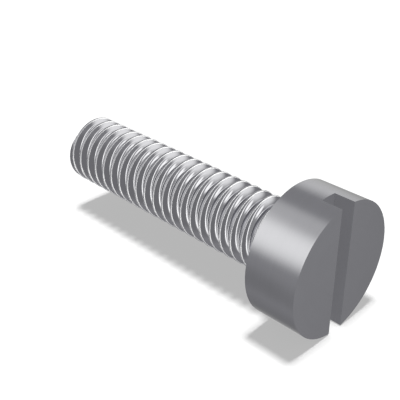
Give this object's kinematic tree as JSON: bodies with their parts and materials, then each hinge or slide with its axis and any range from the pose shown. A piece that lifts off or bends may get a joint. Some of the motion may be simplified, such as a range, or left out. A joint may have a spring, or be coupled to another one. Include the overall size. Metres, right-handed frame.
{
  "type": "slotted cheese head screw",
  "caption": "Fully threaded machine screw with a cylindrical cheese head and a straight driver slot across it.",
  "frame": {"origin": "centre of the slotted face of the head, on which the screw stands", "axes": "+Z along the screw's axis from the slotted face to the tip, +X along the driver slot"},
  "size_m": [0.0044, 0.0044, 0.0118],
  "materials": {
    "steel": "plain turned and rolled steel, smooth and slightly satin"
  },
  "bodies": {
    "root": {"screw": "steel"}
  },
  "joints": []
}
